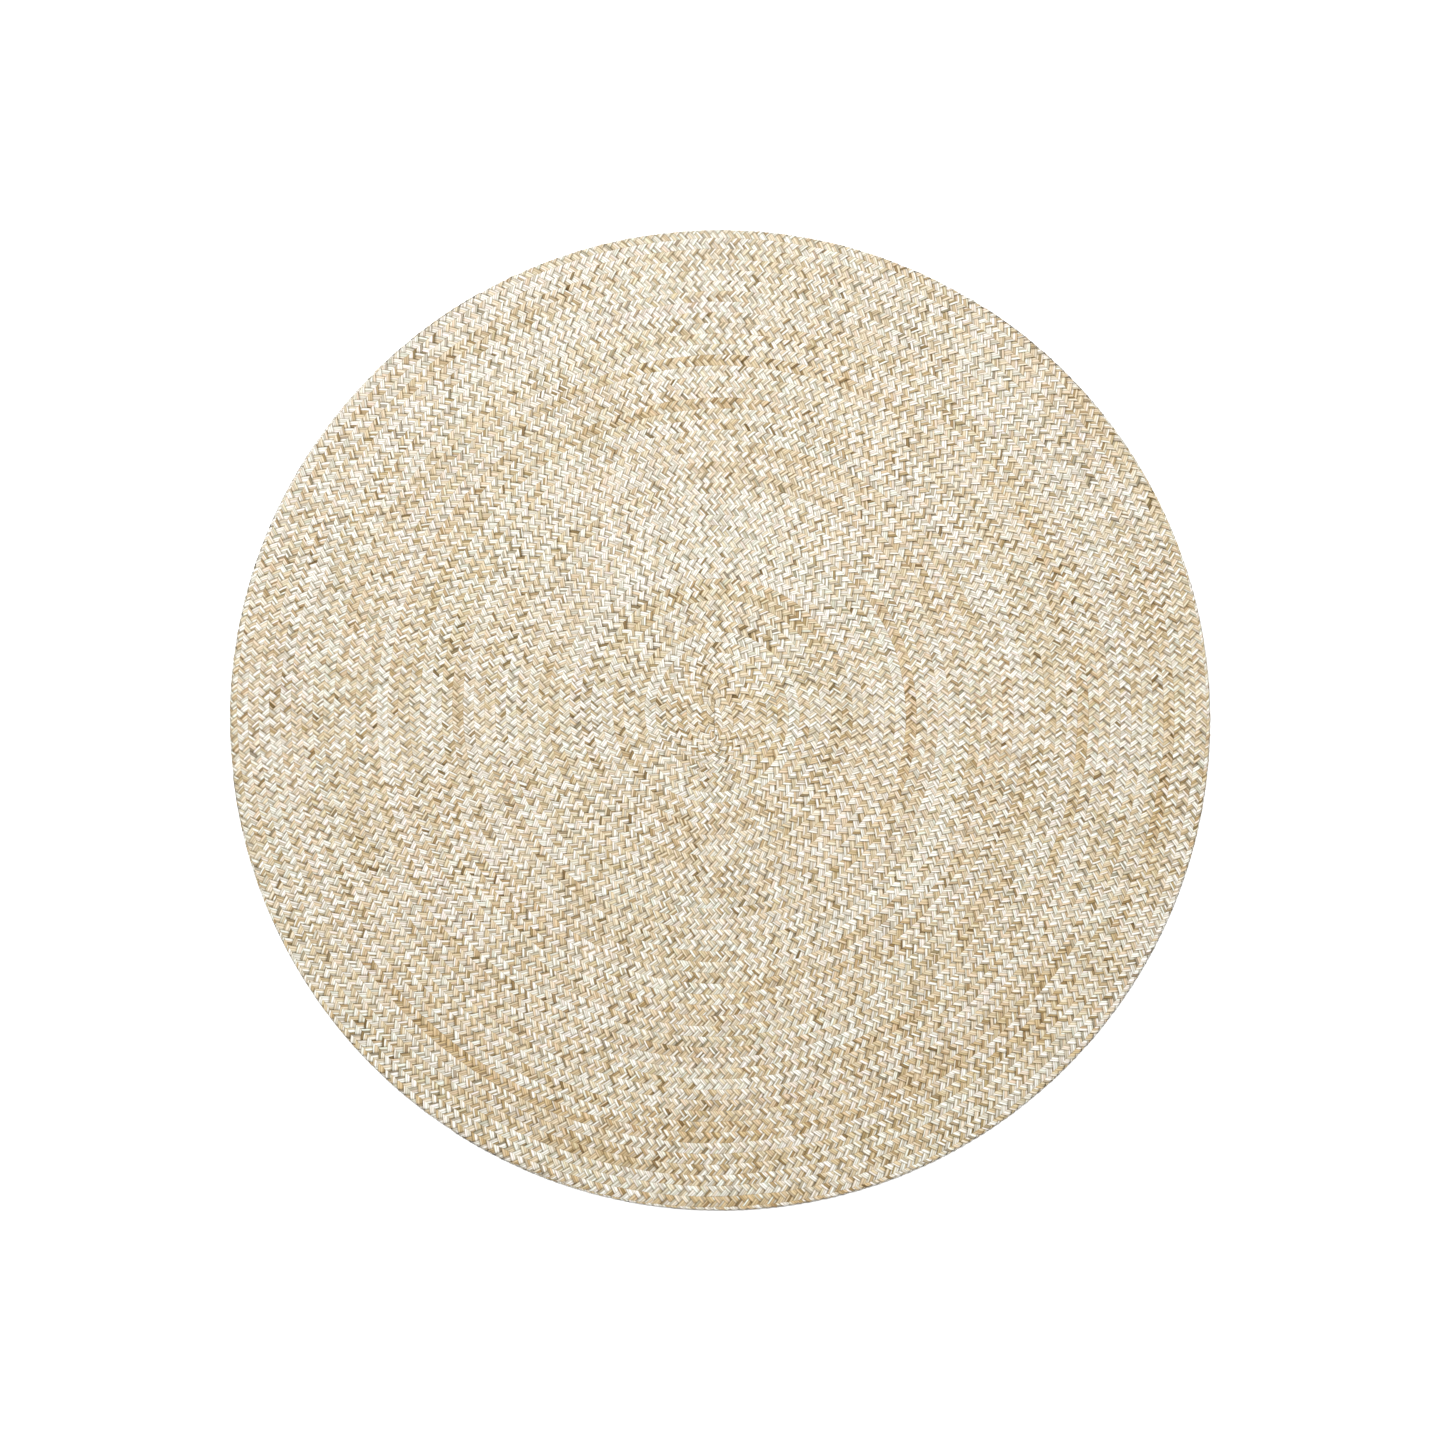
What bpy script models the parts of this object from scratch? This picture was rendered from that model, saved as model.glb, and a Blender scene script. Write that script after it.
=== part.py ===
"""Round rug of two three-strand plaits, coiled side by side and sewn edge to edge.

The mat is one flat solid. Its underside is plain and rests on the floor. Its upper side
has one rib for each row of plait, with a groove where the rows are sewn together. The
rows start at a short straight fold near the middle and wind outward clockwise, seen from
above, two plaits abreast. The round rim cuts across the last rows.
"""

import math

import bmesh
import bpy

# Driving dimensions, in metres
RUG_DIAMETER = 1.830
RUG_THICKNESS = 0.0095  # floor to the crown of a plait
SEAM_DEPTH = 0.0030  # crown of a plait down to the sewn groove beside it
PLAIT_WIDTH = 0.0200
PLAITS_ABREAST = 2  # plaits wound side by side, so a turn widens the coil by both

# Where the coil lies in the disc
COIL_CENTRE = (-0.0062, 0.0153)  # middle of the full turns, from the middle of the disc
START_CENTRE = (-0.0104, 0.0034)  # middle of the straight start
START_HALF_LENGTH = 0.0240  # of the straight start, which runs along Y
LASTING_STRETCH = 0.0063  # how much longer than wide the early turns stay
START_FADES_BY = 0.0750  # distance in which the turns lose the start's shape
FIRST_GROOVE = 0.68  # plait widths from the coil's middle to a groove, along +X

# The edge of the mat, rounded by the plait that turns under
RIM_ROUNDING = 0.0026
RIM_SHOULDER_HEIGHT = 0.0068
RIM_WIDEST_HEIGHT = 0.0042

# How finely the ribs are drawn
SPOKES = 60
LINES_PER_PLAIT = 2  # one line of points in the groove and one on the crown
LEAST_STEP = 0.0030  # a line of points nearer to the rim than this ends on it
WELD_DISTANCE = 0.00005

YARN_COLOUR = (0.708, 0.624, 0.485, 1.0)  # off-white and raw jute, mixed
YARN_ROUGHNESS = 0.9

RIM_TOP_RADIUS = RUG_DIAMETER / 2 - RIM_ROUNDING
LINE_STEP = PLAIT_WIDTH / LINES_PER_PLAIT
FULL_TURN = 2 * math.pi


def clear_scene():
    """Remove every object, so that the model starts from an empty scene."""
    for old in list(bpy.data.objects):
        bpy.data.objects.remove(old, do_unlink=True)


def yarn_material():
    """The material of the plaits."""
    material = bpy.data.materials.new("jute_yarn")
    material.use_nodes = True
    shader = material.node_tree.nodes["Principled BSDF"]
    shader.inputs["Base Color"].default_value = YARN_COLOUR
    shader.inputs["Roughness"].default_value = YARN_ROUGHNESS
    shader.inputs["Metallic"].default_value = 0.0
    material.diffuse_color = YARN_COLOUR
    return material


def rim_from_coil(angle):
    """Distance and direction from the coil's centre to the rim at this angle."""
    across = RIM_TOP_RADIUS * math.cos(angle) - COIL_CENTRE[0]
    along = RIM_TOP_RADIUS * math.sin(angle) - COIL_CENTRE[1]
    direction = math.atan2(along, across)
    direction += FULL_TURN * round((angle - direction) / FULL_TURN)
    return math.hypot(across, along), direction


def reach_of(line, angle):
    """Distance from the coil's centre to a line of points, which winds in with the angle."""
    widths = line / LINES_PER_PLAIT + FIRST_GROOVE - PLAITS_ABREAST * angle / FULL_TURN
    return max(widths * PLAIT_WIDTH, 0.0)


def height_of(line, reach, room):
    """Height of the upper side: grooves low, crowns high, less so where a row runs out."""
    groove = RUG_THICKNESS - SEAM_DEPTH
    if room <= 0:
        return RIM_SHOULDER_HEIGHT
    if line % LINES_PER_PLAIT == 0:
        return groove
    share = min(1.0, reach / LINE_STEP, room / LINE_STEP)
    return groove + SEAM_DEPTH * share


def wound_point(line, angle):
    """Place of a point of the upper side, from its line and its angle about the disc."""
    rim_reach, rim_direction = rim_from_coil(angle)
    reach = reach_of(line, angle)
    room = rim_reach - reach
    if room < LEAST_STEP:
        x = RIM_TOP_RADIUS * math.cos(angle)
        y = RIM_TOP_RADIUS * math.sin(angle)
        return x, y, height_of(line, reach, 0.0)
    direction = angle + (rim_direction - angle) * reach / rim_reach
    start = math.exp(-((reach / START_FADES_BY) ** 2))
    lasting = LASTING_STRETCH * room / rim_reach
    stretch = lasting + (START_HALF_LENGTH - LASTING_STRETCH) * start
    x = COIL_CENTRE[0] + (START_CENTRE[0] - COIL_CENTRE[0]) * start
    y = COIL_CENTRE[1] + (START_CENTRE[1] - COIL_CENTRE[1]) * start
    x += reach * math.cos(direction)
    y += (reach + stretch) * math.sin(direction)
    return x, y, height_of(line, reach, room)


def wind_upper_side(bm):
    """Turn a flat grid into the ribbed disc: its lines become rows and its columns spokes."""
    first_line = -math.ceil(FIRST_GROOVE * LINES_PER_PLAIT)
    farthest = RIM_TOP_RADIUS + math.hypot(*COIL_CENTRE)
    last_line = math.ceil(
        (farthest / PLAIT_WIDTH - FIRST_GROOVE + PLAITS_ABREAST) * LINES_PER_PLAIT
    )
    cells = last_line - first_line
    bmesh.ops.create_grid(bm, x_segments=cells, y_segments=SPOKES, size=0.5)
    for vertex in bm.verts:
        line = first_line + round((vertex.co.x + 0.5) * cells)
        angle = FULL_TURN * round((vertex.co.y + 0.5) * SPOKES) / SPOKES
        vertex.co = wound_point(line, angle)
    bmesh.ops.remove_doubles(bm, verts=bm.verts, dist=WELD_DISTANCE)
    bmesh.ops.dissolve_degenerate(bm, edges=bm.edges, dist=WELD_DISTANCE)


def extrude_rim(bm, edges, radius, height):
    """Carry the mat's open edge to another radius and height, and return its new edges."""
    made = bmesh.ops.extrude_edge_only(bm, edges=edges)["geom"]
    for vertex in (item for item in made if isinstance(item, bmesh.types.BMVert)):
        scale = radius / math.hypot(vertex.co.x, vertex.co.y)
        vertex.co = (vertex.co.x * scale, vertex.co.y * scale, height)
    return [item for item in made if isinstance(item, bmesh.types.BMEdge)]


def close_below(bm):
    """Round the rim over and close the mat with its flat underside."""
    open_edges = [edge for edge in bm.edges if edge.is_boundary]
    widest = extrude_rim(bm, open_edges, RUG_DIAMETER / 2, RIM_WIDEST_HEIGHT)
    lowest = extrude_rim(bm, widest, RIM_TOP_RADIUS, 0.0)
    bmesh.ops.contextual_create(bm, geom=lowest)
    bmesh.ops.recalc_face_normals(bm, faces=bm.faces)


def build_mat(collection, material):
    """The braided mat, its underside at Z = 0 and its middle on the Z axis."""
    bm = bmesh.new()
    wind_upper_side(bm)
    close_below(bm)
    mesh = bpy.data.meshes.new("braided_mat")
    bm.to_mesh(mesh)
    bm.free()
    mesh.materials.append(material)
    mesh.shade_smooth()
    mesh.set_sharp_from_angle(angle=math.radians(40))
    mat = bpy.data.objects.new("braided_mat", mesh)
    collection.objects.link(mat)
    return mat


def main():
    clear_scene()
    collection = bpy.data.collections.new("round_jute_rug")
    bpy.context.scene.collection.children.link(collection)
    build_mat(collection, yarn_material())


main()
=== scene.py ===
"""Looks of the round jute rug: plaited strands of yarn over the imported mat, floor, light and camera.

The rug is two flat three-strand plaits, wound side by side from a short straight start.
Each strand is a piece of its own. What shows of a strand are its floats, the short runs
between going under one edge of the plait and under the other strands at its middle. A
float is one small grid of faces, shaped once and laid along the plait some thousand times.
"""

import logging
import math
from dataclasses import dataclass, field
from enum import Enum
from typing import Any, Optional, Union

import bmesh
import bpy
import numpy as np
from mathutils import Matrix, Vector


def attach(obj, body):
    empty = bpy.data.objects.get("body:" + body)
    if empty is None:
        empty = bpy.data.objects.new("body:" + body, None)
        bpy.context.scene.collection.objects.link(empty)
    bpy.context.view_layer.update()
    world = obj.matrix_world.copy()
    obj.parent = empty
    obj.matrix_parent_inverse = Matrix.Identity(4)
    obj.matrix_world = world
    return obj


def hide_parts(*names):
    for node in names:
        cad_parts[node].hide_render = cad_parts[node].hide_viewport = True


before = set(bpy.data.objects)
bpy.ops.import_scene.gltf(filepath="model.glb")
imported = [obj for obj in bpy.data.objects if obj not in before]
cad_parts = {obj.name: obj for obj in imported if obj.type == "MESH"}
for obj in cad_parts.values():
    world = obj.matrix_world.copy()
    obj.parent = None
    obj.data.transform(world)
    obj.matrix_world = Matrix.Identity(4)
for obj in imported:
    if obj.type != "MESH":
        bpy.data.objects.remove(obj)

LOG = logging.getLogger("jute_rug")
FULL_TURN = 2 * math.pi
STRANDS = 3  # in a plait
YARNS = 3  # in a strand
Array = np.ndarray
Colour = tuple[int, int, int]  # as seen on a screen, 0 to 255


# --- shader tools


class Field:
    """A number that changes over a surface: one socket, with the usual operators."""

    def __init__(self, bench: "Bench", socket: bpy.types.NodeSocket) -> None:
        """Keep the bench that makes nodes and the socket that gives the number."""
        self.bench = bench
        self.socket = socket

    def _with(self, operation: str, first: Any, second: Any = None, clamp: bool = False) -> "Field":
        """Add one Math node.

        Args:
            operation: the Math node's operation.
            first: a field or a number for the first socket.
            second: the same for the second socket, if it has one.
            clamp: keep the result between 0 and 1.

        Returns:
            The node's result.
        """
        values = {0: first} if second is None else {0: first, 1: second}
        node = self.bench.node("ShaderNodeMath", {"operation": operation, "use_clamp": clamp}, values)
        return Field(self.bench, node.outputs[0])

    def __add__(self, other: Any) -> "Field":
        """self + other."""
        return self._with("ADD", self, other)

    def __radd__(self, other: Any) -> "Field":
        """other + self."""
        return self._with("ADD", other, self)

    def __sub__(self, other: Any) -> "Field":
        """self - other."""
        return self._with("SUBTRACT", self, other)

    def __rsub__(self, other: Any) -> "Field":
        """other - self."""
        return self._with("SUBTRACT", other, self)

    def __mul__(self, other: Any) -> "Field":
        """self * other."""
        return self._with("MULTIPLY", self, other)

    def __rmul__(self, other: Any) -> "Field":
        """other * self."""
        return self._with("MULTIPLY", other, self)

    def __truediv__(self, other: Any) -> "Field":
        """self / other."""
        return self._with("DIVIDE", self, other)

    def __rtruediv__(self, other: Any) -> "Field":
        """other / self."""
        return self._with("DIVIDE", other, self)

    def __pow__(self, other: Any) -> "Field":
        """self to the power of other."""
        return self._with("POWER", self, other)

    def __rpow__(self, other: Any) -> "Field":
        """other to the power of self."""
        return self._with("POWER", other, self)

    def part(self) -> "Field":
        """What is left after the whole number is taken off."""
        return self._with("FRACT", self)

    def size(self) -> "Field":
        """The number without its sign."""
        return self._with("ABSOLUTE", self)

    def sine(self) -> "Field":
        """The sine of the number."""
        return self._with("SINE", self)

    def share(self) -> "Field":
        """The number, kept between 0 and 1."""
        return self._with("ADD", self, 0.0, clamp=True)


class Bench:
    """Where one material is put together, node by node."""

    def __init__(self, name: str) -> None:
        """Start a material with nothing but its output and its surface shader."""
        self.material = bpy.data.materials.new(name)
        self.material.use_nodes = True
        self.tree = self.material.node_tree
        self.tree.nodes.clear()
        self.surface = self.node("ShaderNodeBsdfPrincipled")
        self.node("ShaderNodeOutputMaterial", {}, {"Surface": self.surface.outputs[0]})

    def node(
        self,
        kind: str,
        settings: Optional[dict[str, Any]] = None,
        values: Optional[dict[Union[str, int], Any]] = None,
    ) -> bpy.types.Node:
        """Add a node.

        Args:
            kind: the node's type.
            settings: what is set on the node itself, and "stops" for a ramp's stops.
            values: for each socket a number, a colour, a field or another node's socket.

        Returns:
            The new node.
        """
        made = self.tree.nodes.new(kind)
        for key, value in (settings or {}).items():
            if key == "stops":
                self._set_stops(made, value)
            else:
                setattr(made, key, value)
        self.feed(made, values or {})
        return made

    def feed(self, node: bpy.types.Node, values: dict[Union[str, int], Any]) -> None:
        """Link fields and sockets to a node's sockets, and set the others to plain values."""
        for key, value in values.items():
            if isinstance(value, Field):
                value = value.socket
            if isinstance(value, bpy.types.NodeSocket):
                self.tree.links.new(value, node.inputs[key])
            else:
                node.inputs[key].default_value = value

    @staticmethod
    def _set_stops(ramp: bpy.types.Node, stops: tuple[tuple[float, Colour], ...]) -> None:
        """Give a colour ramp its stops, each a place and a colour."""
        elements = ramp.color_ramp.elements
        while len(elements) < len(stops):
            elements.new(0.5)
        for element, (place, colour) in zip(elements, stops):
            element.position = place
            element.color = linear(*colour)

    def attribute(self, name: str) -> Field:
        """A number that is kept on the mesh under this name."""
        node = self.node("ShaderNodeAttribute", {"attribute_name": name})
        return Field(self, node.outputs["Fac"])

    def noise(self, vector: Any, scale: float, detail: float = 2.0, roughness: float = 0.5) -> Field:
        """Soft noise between 0 and 1.

        Args:
            vector: the place that the noise is read at.
            scale: spots to a unit of the place.
            detail: how many finer layers it has.
            roughness: how strong those layers are.

        Returns:
            The noise as a field.
        """
        node = self.node(
            "ShaderNodeTexNoise",
            {},
            {"Vector": vector, "Scale": scale, "Detail": detail, "Roughness": roughness},
        )
        return Field(self, node.outputs["Fac"])

    def vector(self, x: Any, y: Any, z: Any = 0.0) -> bpy.types.NodeSocket:
        """A place put together from three numbers."""
        return self.node("ShaderNodeCombineXYZ", {}, {0: x, 1: y, 2: z}).outputs[0]

    def object_place(self) -> bpy.types.NodeSocket:
        """The place on the object, in metres."""
        return self.node("ShaderNodeTexCoord").outputs["Object"]


def linear(red: int, green: int, blue: int) -> tuple[float, float, float, float]:
    """A colour as seen on a screen, 0 to 255, as the shader's linear colour."""
    shown = np.array([red, green, blue]) / 255.0
    values = np.where(shown <= 0.04045, shown / 12.92, ((shown + 0.055) / 1.055) ** 2.4)
    return (*map(float, values), 1.0)


# --- finishes


@dataclass(frozen=True)
class YarnFinish:
    """Soft jute and bleached yarn, with fibres that follow the twist."""

    name: str = "jute_and_bleached_yarn"
    tones: tuple[tuple[float, Colour], ...] = (
        (0.0, (240, 238, 230)),  # bleached
        (0.25, (238, 231, 217)),  # cream
        (0.5, (227, 213, 187)),  # straw
        (0.78, (209, 184, 139)),  # jute
        (1.0, (185, 155, 103)),  # dark jute
    )
    fibres_across: float = 5.0  # fibres to a yarn's width
    fibres_along: float = 90.0  # to a metre of yarn
    fibre_turn: float = 120.0  # how far they wind round it, in the same spots
    other_fibres: float = 37.0  # how far apart the fibres of two tones are read
    slubs_across: float = 0.8
    slubs_along: float = 45.0
    other_slubs: float = 53.0
    streaks: float = 0.20  # how much the fibres change the tone
    slub_part: float = 0.16  # how much the slubs do
    brightness: float = 0.91
    fibre_light: float = 0.24  # how much the fibres change the brightness
    painted_valley_shade: float = 0.42  # how much painted shade darkens the bottom of a valley between yarns
    painted_valley_falloff: float = 2.2
    gap_shade: float = 0.29  # the same between two strands
    gap_reach: float = 0.6  # from the strand's side inwards, in yarn widths
    tuck_shade: float = 0.46  # the same where the next float covers this one
    tuck_reach: float = 0.6  # from there outwards, in half strand widths
    edge_shade: float = 0.35  # the same at the plait's edge
    edge_reach: float = 0.16  # from there inwards, as a share of the float
    shade_falloff: float = 1.5
    warmth_of_green: float = 0.15  # how much green and blue go down with the depth of the painted shade
    warmth_of_blue: float = 0.44
    twist_along: float = 70.0  # lines of twist to a metre of yarn
    twist_across: float = 0.75  # the same to a yarn's width
    roughness: float = 0.86
    rougher_fibres: float = 0.18
    bump_height: float = 0.00035
    fibre_relief: float = 0.7  # parts of the bump
    twist_relief: float = 0.18
    valley_relief: float = 0.5
    valley_falloff: float = 4.0
    usual: Colour = (219, 207, 185)

    def build(self) -> bpy.types.Material:
        """Make the material.

        Returns:
            The yarn's material, which reads the tone on the faces and the map along the yarn.
        """
        bench = Bench(self.name)
        run = bench.node("ShaderNodeUVMap", {"uv_map": "yarn_run"}).outputs[0]
        parts = bench.node("ShaderNodeSeparateXYZ", {}, {0: run})
        across, along = Field(bench, parts.outputs[0]), Field(bench, parts.outputs[1])
        tone, shade = bench.attribute("tone"), bench.attribute("shade")

        side = ((across.part() - 0.5) * 2.0).size()  # 0 on a yarn's top line, 1 in the valley
        fibre_place = bench.vector(
            across * self.fibres_across + along * self.fibre_turn,
            along * self.fibres_along,
            tone * self.other_fibres,
        )
        slub_place = bench.vector(
            across * self.slubs_across, along * self.slubs_along, shade * self.other_slubs
        )
        fibres = bench.noise(fibre_place, 1.0, 3.0, 0.6)
        slubs = bench.noise(slub_place, 1.0, 1.0)
        twist = along * (self.twist_along * FULL_TURN) + across * (self.twist_across * FULL_TURN)

        mixed = tone + (fibres - 0.5) * self.streaks + (slubs - 0.5) * self.slub_part
        colour = bench.node("ShaderNodeValToRGB", {"stops": self.tones}, {0: mixed.share()})
        middle = YARNS / 2
        # painted shade in the base colour: darker in the valleys between yarns, where the next float covers
        # this one, at the plait's edge and at the strand's sides
        valley = (side ** self.painted_valley_falloff) * self.painted_valley_shade
        tuck = self._near(bench.attribute("uncovered"), self.tuck_reach) * self.tuck_shade
        edge = self._near(bench.attribute("station"), self.edge_reach) * self.edge_shade
        gap = self._near(middle - (across - middle).size(), self.gap_reach) * self.gap_shade
        # the painted light that is left after all painted shade; it is multiplied into the base colour
        open_share = (1.0 - valley) * (1.0 - tuck) * (1.0 - edge) * shade * (1.0 - gap)
        light = open_share * (self.brightness + (fibres - 0.5) * self.fibre_light)
        tinted = bench.node(
            "ShaderNodeMix",
            {"data_type": "RGBA", "blend_type": "MULTIPLY"},
            {0: 1.0, 6: colour.outputs[0], 7: self._light_colour(bench, light, 1.0 - open_share)},
        ).outputs[2]
        relief = fibres * self.fibre_relief + twist.sine() * self.twist_relief
        relief -= (side ** self.valley_falloff) * self.valley_relief
        bump = bench.node(
            "ShaderNodeBump", {}, {"Strength": 0.7, "Distance": self.bump_height, "Height": relief}
        )
        surface = {
            "Base Color": tinted,
            "Roughness": self.roughness + (fibres - 0.5) * self.rougher_fibres,
            "Specular IOR Level": 0.25,
            "Sheen Weight": 0.12,
            "Sheen Roughness": 0.6,
            "Normal": bump.outputs[0],
        }
        bench.feed(bench.surface, surface)
        bench.material.diffuse_color = linear(*self.usual)
        return bench.material

    def _near(self, distance: Field, reach: float) -> Field:
        """1 where the distance is 0 or less, and falling to 0 where it is the reach."""
        return (1.0 - distance / reach).share() ** self.shade_falloff

    def _light_colour(self, bench: Bench, light: Field, depth: Field) -> bpy.types.NodeSocket:
        """Turn the painted light and shade into a colour.

        Args:
            bench: where the material is put together.
            light: how bright the yarn is.
            depth: how deep in the painted shade it lies, which makes it warmer.

        Returns:
            The light's colour, turned by the hue that is kept on each face.
        """
        hue = bench.attribute("hue")
        red = light * (1.0 + hue)
        green = light * (1.0 - hue - depth * self.warmth_of_green)
        blue = light * (1.0 - depth * self.warmth_of_blue)
        return bench.node("ShaderNodeCombineColor", {}, {0: red, 1: green, 2: blue}).outputs[0]


@dataclass(frozen=True)
class GroundFinish:
    """The inside of the plaits, seen only through gaps between strands; its dark colours are painted shade.
    """

    name: str = "shaded_jute_ground"
    # dark jute colours: painted shade of the gaps between strands
    tones: tuple[tuple[float, Colour], ...] = ((0.25, (112, 90, 58)), (0.75, (178, 152, 112)))
    fibre_scale: float = 620.0  # spots to a metre
    patch_scale: float = 45.0

    def build(self) -> bpy.types.Material:
        """Make the material."""
        bench = Bench(self.name)
        place = bench.object_place()
        fibres = bench.noise(place, self.fibre_scale, 3.0, 0.65)
        patches = bench.noise(place, self.patch_scale, 2.0)
        mixed = fibres * 0.6 + patches * 0.4
        colour = bench.node("ShaderNodeValToRGB", {"stops": self.tones}, {0: mixed})
        bump = bench.node("ShaderNodeBump", {}, {"Strength": 0.6, "Distance": 0.0004, "Height": fibres})
        surface = {
            "Base Color": colour.outputs[0],
            "Roughness": 0.85 + fibres * 0.1,
            "Specular IOR Level": 0.2,
            "Normal": bump.outputs[0],
        }
        bench.feed(bench.surface, surface)
        return bench.material


@dataclass(frozen=True)
class FloorFinish:
    """Plain white studio floor."""

    name: str = "white_studio_floor"
    colour: Colour = (253, 253, 253)

    def build(self) -> bpy.types.Material:
        """Make the material, with the faint mottling of matt paint."""
        bench = Bench(self.name)
        mottle = bench.noise(bench.object_place(), 3.0, 2.0)
        surface = {
            "Base Color": linear(*self.colour),
            "Roughness": 0.82 + mottle * 0.1,
            "Specular IOR Level": 0.1,
        }
        bench.feed(bench.surface, surface)
        return bench.material


# --- the coil


@dataclass(frozen=True)
class Coil:
    """How the plaits wind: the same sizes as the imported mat, in metres."""

    diameter: float = 1.830
    thickness: float = 0.0095
    plait_width: float = 0.0200
    plaits_abreast: int = 2
    centre: tuple[float, float] = (-0.0062, 0.0153)
    start_centre: tuple[float, float] = (-0.0104, 0.0034)
    start_half_length: float = 0.0240
    lasting_stretch: float = 0.0063
    start_fades_by: float = 0.0750
    first_groove: float = 0.68
    rim_rounding: float = 0.0026

    @property
    def rim_top_radius(self) -> float:
        """Radius at which the mat's upper side starts to round over."""
        return self.diameter / 2 - self.rim_rounding

    @property
    def middle_height(self) -> float:
        """Height half way through the mat."""
        return self.thickness / 2

    @property
    def flat_radius(self) -> float:
        """Radius at which the strands start to turn round the rim."""
        return self.diameter / 2 - self.middle_height

    def middle_reach(self, plait: int, angle: Array) -> Array:
        """Distance from the coil's centre to the middle of a plait, which winds in with the angle."""
        widths = plait + 0.5 + self.first_groove - self.plaits_abreast * angle / FULL_TURN
        return widths * self.plait_width

    def place(self, reach: Array, angle: Array) -> tuple[Array, Array]:
        """Where a point of the coil lies.

        Args:
            reach: distance from the coil's centre.
            angle: angle about the disc, which may run over many turns.

        Returns:
            x and y.
        """
        across = self.rim_top_radius * np.cos(angle) - self.centre[0]
        along = self.rim_top_radius * np.sin(angle) - self.centre[1]
        rim_direction = np.arctan2(along, across)
        rim_direction += FULL_TURN * np.round((angle - rim_direction) / FULL_TURN)
        rim_reach = np.hypot(across, along)
        direction = angle + (rim_direction - angle) * reach / rim_reach
        start = np.exp(-((reach / self.start_fades_by) ** 2))
        lasting = self.lasting_stretch * (rim_reach - reach) / rim_reach
        stretch = lasting + (self.start_half_length - self.lasting_stretch) * start
        x = self.centre[0] + (self.start_centre[0] - self.centre[0]) * start
        y = self.centre[1] + (self.start_centre[1] - self.centre[1]) * start
        return x + reach * np.cos(direction), y + (reach + stretch) * np.sin(direction)


class Wander:
    """Slow, small drift of the rows, the same for every piece, as hand-laid rows have."""

    LENGTHS = (0.46, 0.31, 0.22, 0.15, 0.105)  # of the waves, in metres
    WAVES = 3  # of each length
    USUAL_LENGTH = 0.3
    LEAST_SIZE = 0.4  # as a share of the usual size

    def __init__(self, seed: int, size: float) -> None:
        """Choose the waves.

        Args:
            seed: start of the random draws.
            size: how far a row drifts, in metres.
        """
        draw = np.random.default_rng(seed)
        self.waves = []
        for length in self.LENGTHS:
            for _ in range(self.WAVES):
                turn = draw.uniform(0, FULL_TURN)
                self.waves.append(
                    (
                        FULL_TURN / length * math.cos(turn),
                        FULL_TURN / length * math.sin(turn),
                        draw.uniform(0, FULL_TURN),
                        draw.uniform(0, FULL_TURN),
                        size
                        * draw.uniform(self.LEAST_SIZE, 1.0)
                        * (length / self.USUAL_LENGTH) ** 0.5
                        / self.WAVES,
                    )
                )

    def shift(self, x: Array, y: Array) -> tuple[Array, Array]:
        """How far the point at x, y drifts in x and in y."""
        move_x, move_y = np.zeros_like(x), np.zeros_like(y)
        for wave_x, wave_y, phase, heading, size in self.waves:
            push = size * np.sin(wave_x * x + wave_y * y + phase)
            move_x += push * math.cos(heading)
            move_y += push * math.sin(heading)
        return move_x, move_y


# --- strands


class Side(Enum):
    """The two sides of the rug."""

    UPPER = 1
    UNDER = -1


class Column(Enum):
    """The two columns of floats of a plait, by where they lie from its middle line."""

    INNER = -1
    OUTER = 1


@dataclass(frozen=True)
class FloatShape:
    """One float of a strand: its lines across, its stations along, and the faces between.

    A station runs from 0, at the plait's edge, to 1, at its middle, and on under the float
    that crosses next. A line runs from -1 to 1 across the strand.
    """

    side: Side
    lines: tuple[float, ...]
    valleys: tuple[int, ...]  # which of the lines lie in a valley
    line_heights: tuple[float, ...]  # below the strand's top, in metres
    stations: tuple[float, ...]
    arch: tuple[float, ...]  # height over the rug's middle at each station, in metres
    lean: tuple[float, ...]  # how far the strand tips at each station, in metres
    rib: tuple[float, ...]  # share of the lines' relief at each station

    def grid(self) -> tuple[Array, Array, Array]:
        """The faces of one float.

        Returns:
            For each vertex its line and its station, and for each face its four vertices.
        """
        bm = bmesh.new()
        across, along = len(self.lines) - 1, len(self.stations) - 1
        bmesh.ops.create_grid(bm, x_segments=across, y_segments=along, size=0.5)
        bm.verts.ensure_lookup_table()
        line = np.array([round((v.co.x + 0.5) * across) for v in bm.verts])
        station = np.array([round((v.co.y + 0.5) * along) for v in bm.verts])
        faces = np.array([[v.index for v in face.verts] for face in bm.faces])
        bm.free()
        return line, station, faces


UPPER_FLOAT = FloatShape(
    side=Side.UPPER,
    lines=(-1.0, -0.667, -0.333, 0.0, 0.333, 0.667, 1.0),
    valleys=(0, 2, 4, 6),
    line_heights=(-0.0010, -0.0001, -0.0012, 0.0, -0.0013, -0.0003, -0.0021),
    stations=(0.0, 0.40, 0.85, 1.20, 1.50),
    arch=(0.0022, 0.0047, 0.0042, 0.0033, 0.0006),
    lean=(0.0001, 0.0002, 0.0010, 0.0015, 0.0012),
    rib=(0.9, 1.0, 1.0, 0.9, 0.5),
)
UNDER_FLOAT = FloatShape(
    side=Side.UNDER,
    lines=(-1.0, 0.0, 1.0),
    valleys=(0, 2),
    line_heights=(-0.0012, 0.0, -0.0020),
    stations=(0.0, 0.5, 1.35),
    arch=(0.0020, 0.0047, 0.0026),
    lean=(0.0, 0.0002, 0.0016),
    rib=(0.9, 1.0, 0.8),
)


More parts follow.
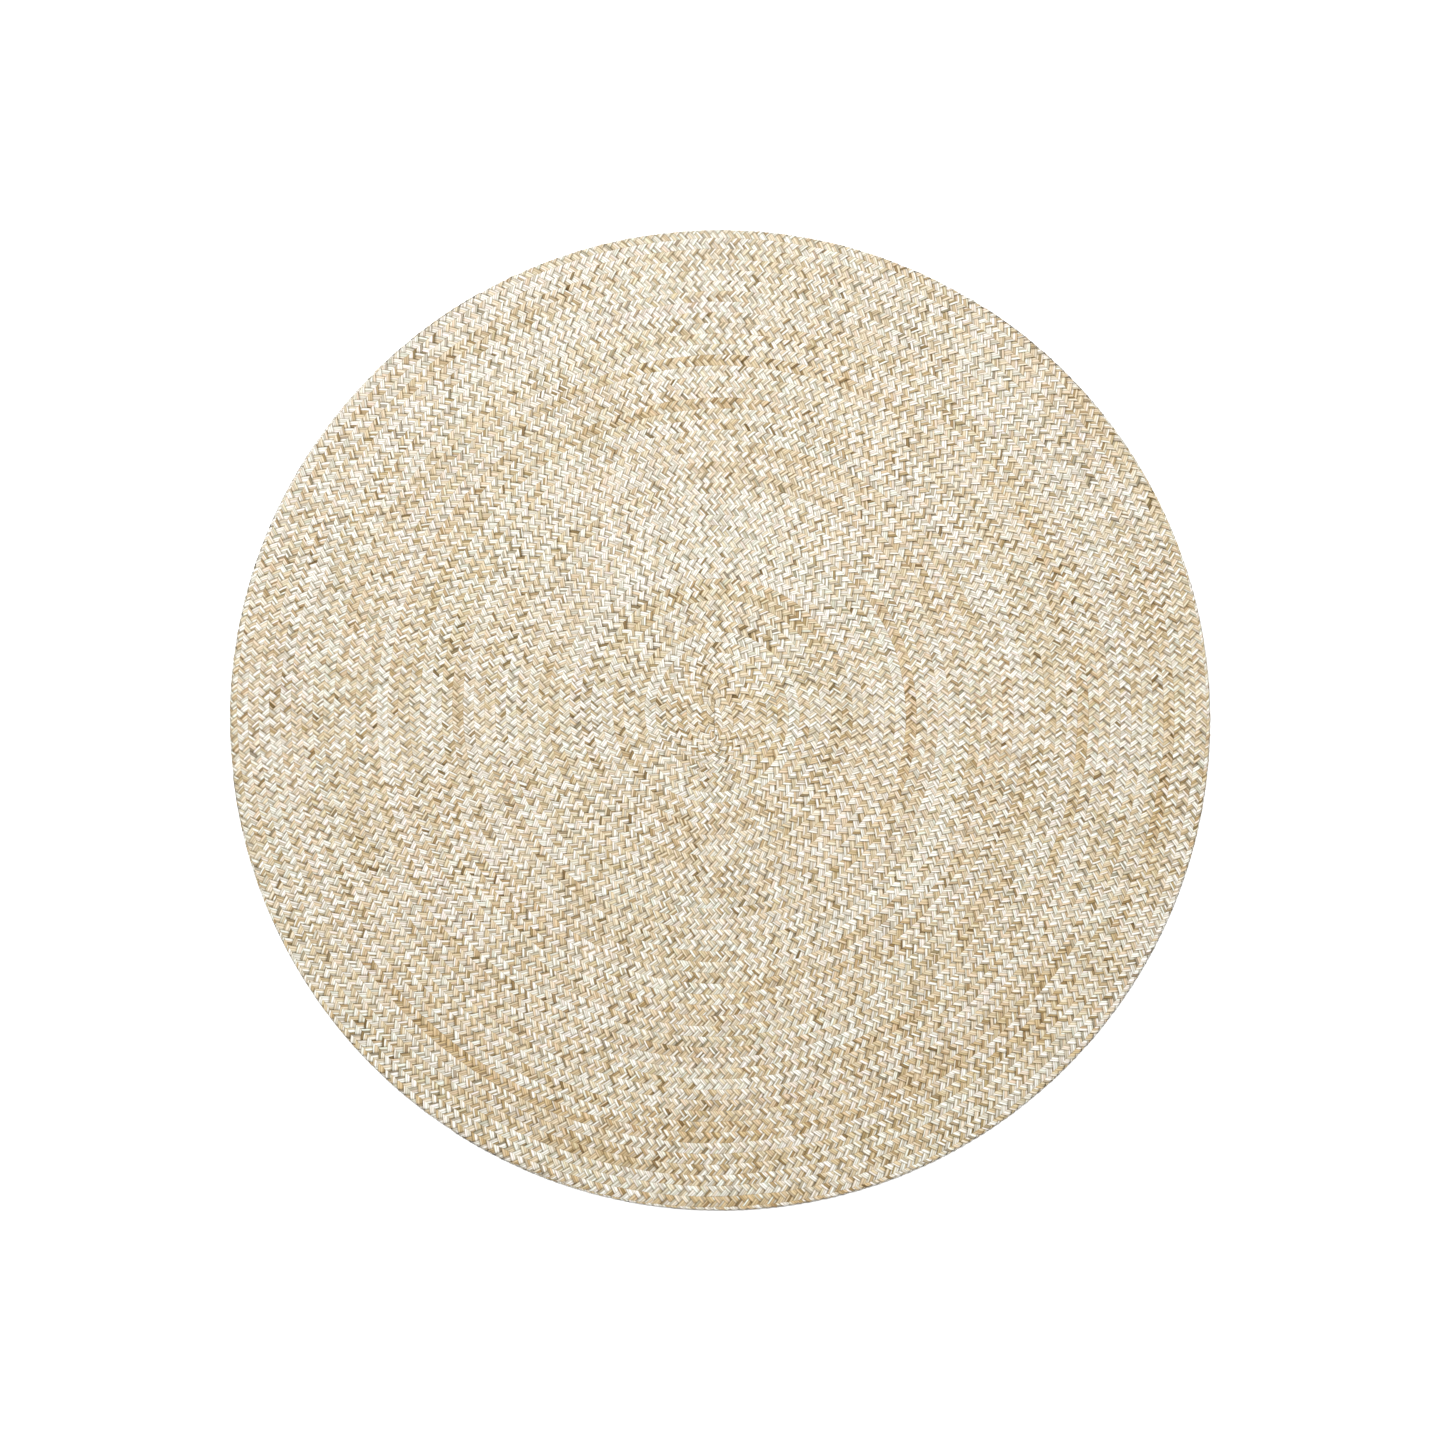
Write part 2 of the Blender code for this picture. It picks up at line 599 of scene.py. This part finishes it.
@dataclass
class Floats:
    """Every float of one strand on one side, as arrays with one row for each float."""

    shape: FloatShape
    points: Array  # floats x vertices x 3
    run: Array  # floats x vertices x 2, the map across and along the yarns
    station: Array  # floats x vertices, 0 at the plait's edge and 1 at its middle
    uncovered: Array  # floats x vertices, above 0 where the next float doesn't cover it
    tone: Array  # floats x 3 yarns, 0 bleached to 1 jute
    shade: Array  # floats x 3 yarns, near 1
    hue: Array  # floats x 3 yarns, above 0 rosy and below 0 greenish


@dataclass(frozen=True)
class Plait:
    """One three-strand plait, wound over the whole rug."""

    name: str
    order: int  # 0 for the plait that starts nearer the middle, 1 for the other
    coil: Coil
    wander: Wander
    pitch: float  # from one float to the next in a column, in metres
    seed: int
    middle_rise: float  # how much higher than usual the plait's middle is, in metres
    shapes: tuple[FloatShape, ...] = (UPPER_FLOAT, UNDER_FLOAT)
    slant: float = 0.85  # along the plait for each length across it
    yarn_stretch: float = 1.31  # length of a slanting yarn for each length across the plait
    overrun: float = 0.04  # how far past the rim the plait is drawn before it is cut, in metres
    past_fold: float = 0.12  # how many turns it is drawn past the fold
    run_shift: float = 9.0  # how far floats are set apart on the map of their fibres
    line_points: int = 40000
    uneven_start: float = 0.065  # how far a float is off its even place, in half pitches
    uneven_pitch: float = 0.16  # how far more it is off, slowly changing, in pitches
    uneven_floats: float = 60.0  # over how many floats that changes
    under_shift: float = 0.25  # how far on the under side's floats lie, in pitches
    uneven_slant: float = 0.045
    uneven_width: float = 0.02
    uneven_reach: float = 0.0002
    uneven_line: float = 0.00034  # how far one of its lines is off its height
    uneven_height: float = 0.00012
    least_height: float = 0.0003
    uneven_yarns: float = 0.15  # how far a valley between two yarns moves to either side
    most_uneven_yarns: float = 0.26
    end_bulge: float = 0.0009  # how far a float's middle yarn reaches past the plait's edge
    bulge_part: float = 0.4  # the part of the float that bulges
    bulge_falloff: float = 1.6  # how much less it does so to the sides
    rise_reach: float = 0.55  # how far from the plait's middle the floats rise, as a part of them
    rim_turn: float = 98.0  # degrees that the rim is wrapped round
    least_on_rug: float = 0.95  # how far round the rim a float may start
    fold_room: float = 0.0050  # how near to the fold the plait's middle line runs
    squeeze: float = 0.0016  # what would pass the fold is pressed into this width beside it
    least_reach: float = 0.0022  # floats that show less than this beside the fold are left out
    jute_share: float = 0.27
    tone_of_patch: float = 0.035
    tone_spread: float = 0.34  # half the difference between a bleached and a raw jute yarn
    strand_part: float = 0.75  # parts of the mix that go by strand, float, yarn and chance
    float_part: float = 0.35
    yarn_part: float = 0.85
    chance_part: float = 0.40
    mix_slope: float = 1.5  # how soon a yarn is all bleached or all jute
    shade_of_float: float = 0.02
    shade_of_yarn: float = 0.23
    shade_noise: float = 0.17
    common_part: float = 0.75
    least_shade: float = 0.38
    most_shade: float = 1.09
    browner_when_dark: float = 0.45
    patch_floats: tuple[float, float] = (260.0, 50.0)  # for how many floats a patch lasts
    strand_laps: float = 9.0  # for how many of its floats a strand looks about the same
    kept_laps: float = 5.5  # the same for a yarn
    hue_laps: float = 8.0
    hue_of_yarn: float = 0.012
    hue_noise: float = 0.004
    painted_light_along_y: float = 0.075  # how much paler the mix is for each metre along Y, towards the key light: a painted light gradient

    def line(self) -> tuple[Array, Array]:
        """The plait's middle line.

        Returns:
            The angle at many points along it, from the rim inwards, and the length up to each.
        """
        reach = self.coil.diameter / 2 + self.overrun
        turns = (reach / self.coil.plait_width - self.order - 0.5 - self.coil.first_groove) / 2
        last = (self.order + 1.0 + self.coil.first_groove) / 2 + self.past_fold
        angle = np.linspace(-turns, last, self.line_points) * FULL_TURN
        middle = self.coil.middle_reach(self.order, angle)
        beside_fold = (middle + np.hypot(middle, 2 * self.fold_room)) / 2
        x, y = self.coil.place(beside_fold, angle)
        steps = np.hypot(np.diff(x), np.diff(y))
        return angle, np.concatenate([[0.0], np.cumsum(steps)])

    def floats(self, shape: FloatShape) -> list[Floats]:
        """Lay all floats of one side.

        Args:
            shape: the float to lay, which also says on which side.

        Returns:
            The floats of each strand.
        """
        angle, length = self.line()
        draw = np.random.default_rng(self.seed + (0 if shape.side is Side.UPPER else 500))
        crossings = np.arange(2, int(length[-1] / self.pitch * 2)).astype(float)
        column = np.where(crossings % 2 == 0, Column.INNER.value, Column.OUTER.value).astype(float)
        count = len(crossings)
        start = (crossings + draw.normal(0, self.uneven_start, count)) * self.pitch / 2
        drift = self._drifting(draw, count, self.uneven_floats)
        start += self.pitch * self.uneven_pitch * drift
        if shape.side is Side.UNDER:
            start += self.pitch * self.under_shift

        line, station, _ = shape.grid()
        inward = np.array(shape.stations)[station][None, :]
        drawn = np.array(shape.lines)[line][None, :]
        across = self._uneven(draw, shape, count)[:, line]
        slant = shape.side.value * self.slant * (1 + draw.normal(0, self.uneven_slant, (count, 1)))
        half = self.coil.plait_width / 2
        width = 0.5 * self.pitch * (1.0 + draw.normal(0, self.uneven_width, (count, 1)))
        along = start[:, None] + half * slant * (inward - 0.5) + across * width
        bulge = self.end_bulge * (1.0 - self.bulge_falloff * across**2)
        bulge *= np.clip(1.0 - inward / self.bulge_part, 0.0, 1.0)
        outward = column[:, None] * (half * (1.0 - inward) + bulge)
        outward += draw.normal(0, self.uneven_reach, (count, 1))
        point_angle = np.interp(along, length, angle)
        reach = self.coil.middle_reach(self.order, point_angle) + outward
        middle = self.coil.middle_reach(self.order, np.interp(start, length, angle))
        shows = middle + np.where(column > 0, half, 0.0)
        x, y = self.coil.place(self._beside_fold(reach), point_angle)
        move_x, move_y = self.wander.shift(x, y)
        x, y = x + move_x, y + move_y

        high = self._heights(draw, shape, inward, across)
        x, y, z = self._rounded_at_rim(x, y, high, shape.side)
        points = np.stack([x, y, z], axis=-1)

        on_rug = np.hypot(x, y) < self.coil.flat_radius + high * self.least_on_rug
        keep = (shows > self.least_reach) & on_rug.any(axis=1)
        tone, shade, hue = self._tones(crossings, y.mean(axis=1))
        run_across = np.broadcast_to((drawn + 1.0) * (YARNS / 2), across.shape)
        run_along = inward * half * self.yarn_stretch + draw.uniform(0, self.run_shift, (count, 1))
        run = np.stack([run_across, np.broadcast_to(run_along, across.shape)], axis=-1)
        strand = crossings.astype(int) % STRANDS
        stations = np.broadcast_to(inward, across.shape)
        uncovered = (1.0 - inward) * self.coil.plait_width * self.slant / self.pitch * 2 - across
        every = (points, run, stations, uncovered, tone, shade, hue)
        picks = (keep & (strand == number) for number in range(STRANDS))
        return [Floats(shape, *(values[pick] for values in every)) for pick in picks]

    def _heights(
        self, draw: np.random.Generator, shape: FloatShape, inward: Array, across: Array
    ) -> Array:
        """How high each point of each float lies over the rug's middle.

        Args:
            draw: source of random numbers.
            shape: the float.
            inward: each point's place along the float.
            across: each point's place across it.

        Returns:
            The height of each point, on its own side of the rug.
        """
        line, station, _ = shape.grid()
        count = len(across)
        lines = np.array(shape.line_heights)
        wobble = draw.normal(0, self.uneven_line, (count, len(lines)))
        wobble[:, list(shape.valleys)] *= 0.5
        relief = (lines[None, :] + wobble)[:, line] * np.array(shape.rib)[station][None, :]
        near_middle = np.clip(1.0 - np.abs(inward - 1.0) / self.rise_reach, 0.0, 1.0)
        arch = np.array(shape.arch)[station][None, :] + self.middle_rise * near_middle
        lean = np.array(shape.lean)[station][None, :] * across
        high = arch - lean + relief + draw.normal(0, self.uneven_height, (count, 1))
        return np.clip(high, self.least_height, self.coil.middle_height)

    def _uneven(self, draw: np.random.Generator, shape: FloatShape, count: int) -> Array:
        """Where each float's lines lie across it, as some yarns are thicker than others.

        Args:
            draw: source of random numbers.
            shape: the float.
            count: how many floats there are.

        Returns:
            For each float the place of each line, from -1 to 1.
        """
        lines = np.array(shape.lines)
        shift = np.zeros((count, len(lines)))
        inner = [number for number in shape.valleys if 0 < number < len(lines) - 1]
        moved = draw.normal(0, self.uneven_yarns, (count, len(inner)))
        shift[:, inner] = np.clip(moved, -self.most_uneven_yarns, self.most_uneven_yarns)
        tops = [number for number in range(len(lines)) if number not in shape.valleys]
        for number in tops:
            shift[:, number] = (shift[:, number - 1] + shift[:, number + 1]) / 2
        return lines[None, :] + shift

    def _beside_fold(self, reach: Array) -> Array:
        """The same reach, but pressed together where it would pass the fold at the coil's middle."""
        pressed = self.squeeze * np.exp(np.minimum(reach / self.squeeze - 1.0, 0.0))
        return np.maximum(reach, pressed)

    def _rounded_at_rim(self, x: Array, y: Array, high: Array, side: Side) -> tuple[Array, ...]:
        """Wrap what passes the rim round it.

        Args:
            x, y: flat places.
            high: height over the rug's middle, on its own side.
            side: the side of the rug.

        Returns:
            x, y and z in the rug's frame.
        """
        middle, flat_radius = self.coil.middle_height, self.coil.flat_radius
        radius = np.hypot(x, y)
        turn = np.clip((radius - flat_radius) / middle, 0.0, math.radians(self.rim_turn))
        wrapped = np.where(radius > flat_radius, flat_radius + high * np.sin(turn), radius)
        scale = wrapped / np.maximum(radius, 1e-9)
        z = middle + side.value * high * np.cos(turn)
        return x * scale, y * scale, z

    def _tones(self, crossings: Array, y: Array) -> tuple[Array, Array, Array]:
        """Mix of bleached and jute yarn, its brightness and its hue, for each yarn of each float.

        A yarn keeps its look for some floats of its strand, and lies on the other side of
        the strand in every second float. Both sides of the rug draw the same numbers.

        Args:
            crossings: number of each float along the plait.
            y: middle of each float.

        Returns:
            The tone, the shade and the hue of each float's three yarns.
        """
        draw = np.random.default_rng(self.seed + 900)
        number = crossings.astype(int)
        count = int(number.max()) + 1
        laps = (count - 1) // STRANDS + 1
        patch = sum(self._drifting(draw, count, floats) for floats in self.patch_floats)
        strand_mix = self.strand_part * self._drifting_rows(draw, (STRANDS, laps), self.strand_laps)
        strand_mix += self.float_part * draw.normal(0, 1, (STRANDS, laps))
        float_shade = self.shade_of_float * draw.normal(0, 1, count)
        kept = (STRANDS, YARNS, laps)
        yarn_mix = self.yarn_part * self._drifting_rows(draw, kept, self.kept_laps)
        yarn_mix += self.chance_part * draw.normal(0, 1, kept)
        yarn_shade = self.shade_of_yarn * self._drifting_rows(draw, kept, self.kept_laps)
        yarn_shade += self.shade_noise * draw.normal(0, 1, kept)
        yarn_hue = self.hue_of_yarn * self._drifting_rows(draw, kept, self.hue_laps)
        yarn_hue += self.hue_noise * draw.normal(0, 1, kept)

        strand, lap = number % STRANDS, number // STRANDS
        yarns = np.arange(YARNS)[None]
        order = np.where((number % 2 == 0)[:, None], yarns, YARNS - 1 - yarns)
        yarn = (strand[:, None], order, lap[:, None])
        mix = strand_mix[strand, lap][:, None] + self._set_off(yarn_mix[yarn])
        shade = 1.0 + self._set_off(yarn_shade[yarn]) + float_shade[number][:, None]
        # painted light: the mix is paler towards +Y, where the key light hangs
        tone = self.jute_share - self.painted_light_along_y * y + self.tone_of_patch * patch[number]
        tone = tone[:, None] + self.tone_spread * np.tanh(self.mix_slope * mix)
        tone += self.browner_when_dark * np.maximum(1.0 - shade, 0.0)
        shade = np.clip(shade, self.least_shade, self.most_shade)
        return np.clip(tone, 0.0, 1.0), shade, yarn_hue[yarn]

    def _set_off(self, values: Array) -> Array:
        """Set a float's yarns off from one another, by taking most of their common part away."""
        return values - self.common_part * values.mean(axis=1, keepdims=True)

    @staticmethod
    def _drifting(draw: np.random.Generator, count: int, reach: float) -> Array:
        """Random numbers that change slowly, about 1 in size.

        Args:
            draw: source of random numbers.
            count: how many.
            reach: over how many of them they change.

        Returns:
            The numbers.
        """
        length = int(reach * 5) + 1
        window = np.exp(-np.arange(length) / reach)
        window /= math.sqrt(float((window**2).sum()))
        return np.convolve(draw.normal(0, 1, count + length - 1), window, mode="valid")

    @classmethod
    def _drifting_rows(cls, draw: np.random.Generator, shape: tuple[int, ...], reach: float) -> Array:
        """Rows of such numbers, each row by itself."""
        rows = math.prod(shape[:-1])
        return np.array([cls._drifting(draw, shape[-1], reach) for _ in range(rows)]).reshape(shape)

    def build(self, collection: bpy.types.Collection, finish: bpy.types.Material) -> list[bpy.types.Object]:
        """Make the plait's strands.

        Args:
            collection: where the pieces go.
            finish: the yarn's material.

        Returns:
            One piece for each strand.
        """
        sides = [self.floats(shape) for shape in self.shapes]
        made = []
        for number in range(STRANDS):
            mesh = StrandMesh([side[number] for side in sides])
            piece = mesh.piece(f"{self.name}_strand_{number + 1}", finish)
            collection.objects.link(piece)
            made.append(piece)
        return made


@dataclass
class StrandMesh:
    """One mesh of all floats of a strand, on both sides of the rug."""

    sets: list[Floats]
    bake_pixels: int = 1024
    upper_cell: int = 17  # pixels of the baked map for an upper float
    under_cell: int = 8

    def piece(self, name: str, finish: bpy.types.Material) -> bpy.types.Object:
        """Join the floats into one piece.

        Args:
            name: the piece's name.
            finish: its material.

        Returns:
            The piece, not yet in a collection.
        """
        gathered: dict[str, list[Array]] = {}
        first = row = 0
        for floats in self.sets:
            line, station, faces = floats.shape.grid()
            count, size = floats.points.shape[:2]
            if floats.shape.side is Side.UNDER:
                faces = faces[:, ::-1]
            offset = first + np.arange(count)[:, None, None] * size
            yarn = self._yarn_of_face(floats.shape, line, faces)
            cells, row = self._bake_cells(floats, line, station, faces, row)
            valley = np.where(np.isin(line, floats.shape.valleys), line, -1)
            parts = {
                "points": floats.points.reshape(-1, 3),
                "corners": (faces[None] + offset).reshape(-1),
                "valley": np.tile(valley, count),
                "OFBake": cells,
                "yarn_run": floats.run[:, faces].reshape(-1, 2),
                "tone": floats.tone[:, yarn].reshape(-1),
                "shade": floats.shade[:, yarn].reshape(-1),
                "hue": floats.hue[:, yarn].reshape(-1),
                "station": floats.station.reshape(-1),
                "uncovered": floats.uncovered.reshape(-1),
            }
            for key, values in parts.items():
                gathered.setdefault(key, []).append(values)
            first += count * size
        joined = {key: np.concatenate(values) for key, values in gathered.items()}
        mesh = self._mesh(name, joined["points"], joined["corners"])
        self._sharpen(mesh, joined["valley"])
        for key in ("OFBake", "yarn_run"):
            self._map(mesh, key, joined[key])
        for key in ("tone", "shade", "hue"):
            self._number(mesh, key, "FACE", joined[key])
        for key in ("station", "uncovered"):
            self._number(mesh, key, "POINT", joined[key])
        mesh.materials.append(finish)
        mesh.validate()
        return bpy.data.objects.new(name, mesh)

    @staticmethod
    def _mesh(name: str, points: Array, corners: Array) -> bpy.types.Mesh:
        """A smooth mesh of these points, with four corners to a face."""
        mesh = bpy.data.meshes.new(name)
        face_count = len(corners) // 4
        mesh.vertices.add(len(points))
        mesh.vertices.foreach_set("co", points.astype(np.float32).ravel())
        mesh.loops.add(len(corners))
        mesh.loops.foreach_set("vertex_index", corners.astype(np.int32))
        mesh.polygons.add(face_count)
        mesh.polygons.foreach_set("loop_start", np.arange(face_count, dtype=np.int32) * 4)
        mesh.update(calc_edges=True)
        mesh.shade_smooth()
        return mesh

    @staticmethod
    def _yarn_of_face(shape: FloatShape, line: Array, faces: Array) -> Array:
        """Which of the strand's yarns each face belongs to."""
        middle = np.array(shape.lines)[line][faces].mean(axis=1)
        return np.clip(((middle + 1.0) * (YARNS / 2)).astype(int), 0, YARNS - 1)

    def _bake_cells(
        self, floats: Floats, line: Array, station: Array, faces: Array, row: int
    ) -> tuple[Array, int]:
        """Give every float its own cell of the baked map.

        Args:
            floats: the floats.
            line: line of each vertex of a float.
            station: station of each vertex.
            faces: vertices of each face.
            row: first free pixel row of the map.

        Returns:
            The map's place of each corner, and the next free row.
        """
        cell = self.upper_cell if floats.shape.side is Side.UPPER else self.under_cell
        pixels = self.bake_pixels
        across = pixels // cell
        count = len(floats.points)
        number = np.arange(count)
        left, bottom = (number % across) * cell, row + (number // across) * cell
        u = 1.0 + line / line.max() * (cell - 2.0)
        v = 1.0 + station / station.max() * (cell - 2.0)
        corner_u = (left[:, None, None] + u[faces][None]) / pixels
        corner_v = (bottom[:, None, None] + v[faces][None]) / pixels
        used = row + math.ceil(count / across) * cell
        if used > pixels:
            raise ValueError(f"the baked map has {pixels} rows of pixels and needs {used}")
        return np.stack([corner_u, corner_v], axis=-1).reshape(-1, 2), used

    @staticmethod
    def _sharpen(mesh: bpy.types.Mesh, valley: Array) -> None:
        """Crease the edges that run along a valley between two yarns."""
        ends = np.empty(len(mesh.edges) * 2, dtype=np.int32)
        mesh.edges.foreach_get("vertices", ends)
        ends = ends.reshape(-1, 2)
        sharp = (valley[ends[:, 0]] >= 0) & (valley[ends[:, 0]] == valley[ends[:, 1]])
        kept = mesh.attributes.new("sharp_edge", "BOOLEAN", "EDGE")
        kept.data.foreach_set("value", sharp)

    @staticmethod
    def _map(mesh: bpy.types.Mesh, name: str, places: Array) -> None:
        """Keep a map on the mesh's corners."""
        layer = mesh.uv_layers.new(name=name)
        layer.uv.foreach_set("vector", places.astype(np.float32).ravel())

    @staticmethod
    def _number(mesh: bpy.types.Mesh, name: str, domain: str, values: Array) -> None:
        """Keep a number on each face or point."""
        kept = mesh.attributes.new(name, "FLOAT", domain)
        kept.data.foreach_set("value", values.astype(np.float32))


# --- ground


@dataclass
class SewnGround:
    """The thin sewn layer inside the plaits, which holds the rug together as one sheet."""

    coil: Coil
    thickness: float = 0.0012
    rings: int = 30
    spokes: int = 96
    rim_gap: float = 0.0035
    weld_distance: float = 1e-5
    sharp_angle: float = 40.0  # degrees

    def build(self, collection: bpy.types.Collection, finish: bpy.types.Material) -> bpy.types.Object:
        """Make the sheet.

        Args:
            collection: where the piece goes.
            finish: its material.

        Returns:
            The piece.
        """
        bm = bmesh.new()
        bmesh.ops.create_grid(bm, x_segments=self.rings, y_segments=self.spokes, size=0.5)
        radius = self.coil.diameter / 2 - self.rim_gap
        low = self.coil.middle_height - self.thickness / 2
        for vertex in bm.verts:
            reach = (vertex.co.x + 0.5) * radius
            turn = (vertex.co.y + 0.5) * FULL_TURN
            vertex.co = (reach * math.cos(turn), reach * math.sin(turn), low)
        bmesh.ops.remove_doubles(bm, verts=bm.verts, dist=self.weld_distance)
        bmesh.ops.dissolve_degenerate(bm, edges=bm.edges, dist=self.weld_distance / 10)
        bmesh.ops.recalc_face_normals(bm, faces=bm.faces)
        for face in bm.faces:
            if face.normal.z > 0:
                face.normal_flip()
        made = bmesh.ops.extrude_face_region(bm, geom=list(bm.faces), use_keep_orig=True)
        top = [item for item in made["geom"] if isinstance(item, bmesh.types.BMVert)]
        bmesh.ops.translate(bm, verts=top, vec=(0, 0, self.thickness))
        bmesh.ops.recalc_face_normals(bm, faces=bm.faces)
        mesh = bpy.data.meshes.new("sewn_ground")
        bm.to_mesh(mesh)
        bm.free()
        mesh.materials.append(finish)
        mesh.shade_smooth()
        mesh.set_sharp_from_angle(angle=math.radians(self.sharp_angle))
        piece = bpy.data.objects.new("sewn_ground", mesh)
        collection.objects.link(piece)
        return piece


# --- the rug


@dataclass
class Rug:
    """The whole rug: two plaits over one sewn ground."""

    coil: Coil = field(default_factory=Coil)
    wander_size: float = 0.0011

    def build(self, collection: bpy.types.Collection) -> list[bpy.types.Object]:
        """Make every piece, attach it to the root body and hide the imported mat.

        Args:
            collection: where the pieces go.

        Returns:
            The pieces.
        """
        yarn = YarnFinish().build()
        wander = Wander(seed=11, size=self.wander_size)
        plaits = [
            Plait("plait_a", 0, self.coil, wander, pitch=0.01553, seed=101, middle_rise=0.0005),
            Plait("plait_b", 1, self.coil, wander, pitch=0.01593, seed=202, middle_rise=-0.0008),
        ]
        strands = [piece for plait in plaits for piece in plait.build(collection, yarn)]
        ground = SewnGround(self.coil).build(collection, GroundFinish().build())
        for piece in strands + [ground]:
            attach(piece, "root")
            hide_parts("braided_mat")
        return strands + [ground]


# --- the studio


@dataclass
class Studio:
    """Floor, light and camera."""

    frame_width: float = 2.686  # metres across the picture
    lens: float = 60.0
    floor_size: float = 14.0
    look_height: float = 0.005  # height that the frame's width is measured at
    clip: tuple[float, float] = (0.1, 60.0)
    sky_strength: float = 0.60
    key_place: tuple[float, float, float] = (-0.5, 1.9, 5.8)
    key_size: float = 1.8
    key_power: float = 330.0  # watts

    def build(self, collection: bpy.types.Collection) -> None:
        """Make all of it.

        Args:
            collection: where it goes.
        """
        self._floor(collection)
        self._sky()
        self._key_light(collection)
        self._camera(collection)
        view = bpy.context.scene.view_settings
        view.view_transform, view.look = "Standard", "None"
        view.exposure, view.gamma = 0.0, 1.0

    def _floor(self, collection: bpy.types.Collection) -> None:
        """A wide level floor at Z = 0."""
        bm = bmesh.new()
        bmesh.ops.create_grid(bm, x_segments=8, y_segments=8, size=self.floor_size / 2)
        mesh = bpy.data.meshes.new("floor")
        bm.to_mesh(mesh)
        bm.free()
        mesh.materials.append(FloorFinish().build())
        floor = bpy.data.objects.new("floor", mesh)
        collection.objects.link(floor)

    def _sky(self) -> None:
        """Even white light from all round."""
        world = bpy.data.worlds.new("studio_sky")
        world.use_nodes = True
        background = world.node_tree.nodes["Background"]
        background.inputs["Color"].default_value = (1.0, 1.0, 1.0, 1.0)
        background.inputs["Strength"].default_value = self.sky_strength
        bpy.context.scene.world = world

    def _key_light(self, collection: bpy.types.Collection) -> None:
        """Hang a square soft light that faces the rug."""
        data = bpy.data.lights.new("key_light", "AREA")
        data.shape = "SQUARE"
        data.size = self.key_size
        data.energy = self.key_power
        light = bpy.data.objects.new("key_light", data)
        light.location = self.key_place
        light.rotation_euler = (-Vector(self.key_place)).to_track_quat("-Z", "Y").to_euler()
        collection.objects.link(light)

    def _camera(self, collection: bpy.types.Collection) -> None:
        """Look straight down at the middle of the rug."""
        data = bpy.data.cameras.new("overhead_camera")
        data.lens = self.lens
        camera = bpy.data.objects.new("overhead_camera", data)
        distance = self.frame_width / 2 / (data.sensor_width / 2 / self.lens)
        camera.location = (0.0, 0.0, self.look_height + distance)
        data.clip_start, data.clip_end = self.clip
        collection.objects.link(camera)
        bpy.context.scene.camera = camera


def main() -> None:
    """Build the studio and the rug."""
    logging.basicConfig(level=logging.INFO, format="%(name)s: %(message)s")
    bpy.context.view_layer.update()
    studio = bpy.data.collections.new("studio")
    rug = bpy.data.collections.new("rug_looks")
    for collection in (studio, rug):
        bpy.context.scene.collection.children.link(collection)
    Studio().build(studio)
    for piece in Rug().build(rug):
        LOG.info("%s: %d faces", piece.name, len(piece.data.polygons))


if __name__ == "__main__":
    main()
